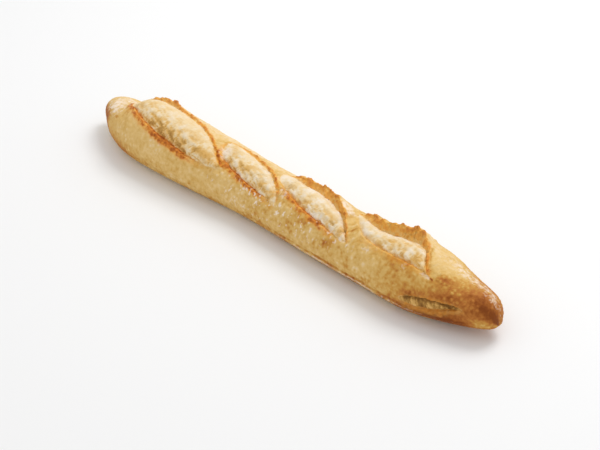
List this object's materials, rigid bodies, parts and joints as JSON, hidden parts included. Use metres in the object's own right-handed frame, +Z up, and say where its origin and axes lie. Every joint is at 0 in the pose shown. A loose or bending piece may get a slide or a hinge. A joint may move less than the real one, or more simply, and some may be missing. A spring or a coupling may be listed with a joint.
{
  "type": "baguette",
  "caption": "Long slim crusty loaf with slanted opened slashes along its top, raised torn ears, one blunt and one tapered nose, and a flat base to rest on.",
  "frame": {"origin": "centre of the loaf's box, on the flat base", "axes": "+X along the loaf towards its tapered nose, +Y across it towards the raised ears, +Z up"},
  "size_m": [0.518, 0.0728, 0.0625],
  "materials": {
    "crust": "matte"
  },
  "bodies": {
    "root": {"baguette": "crust"}
  },
  "joints": []
}
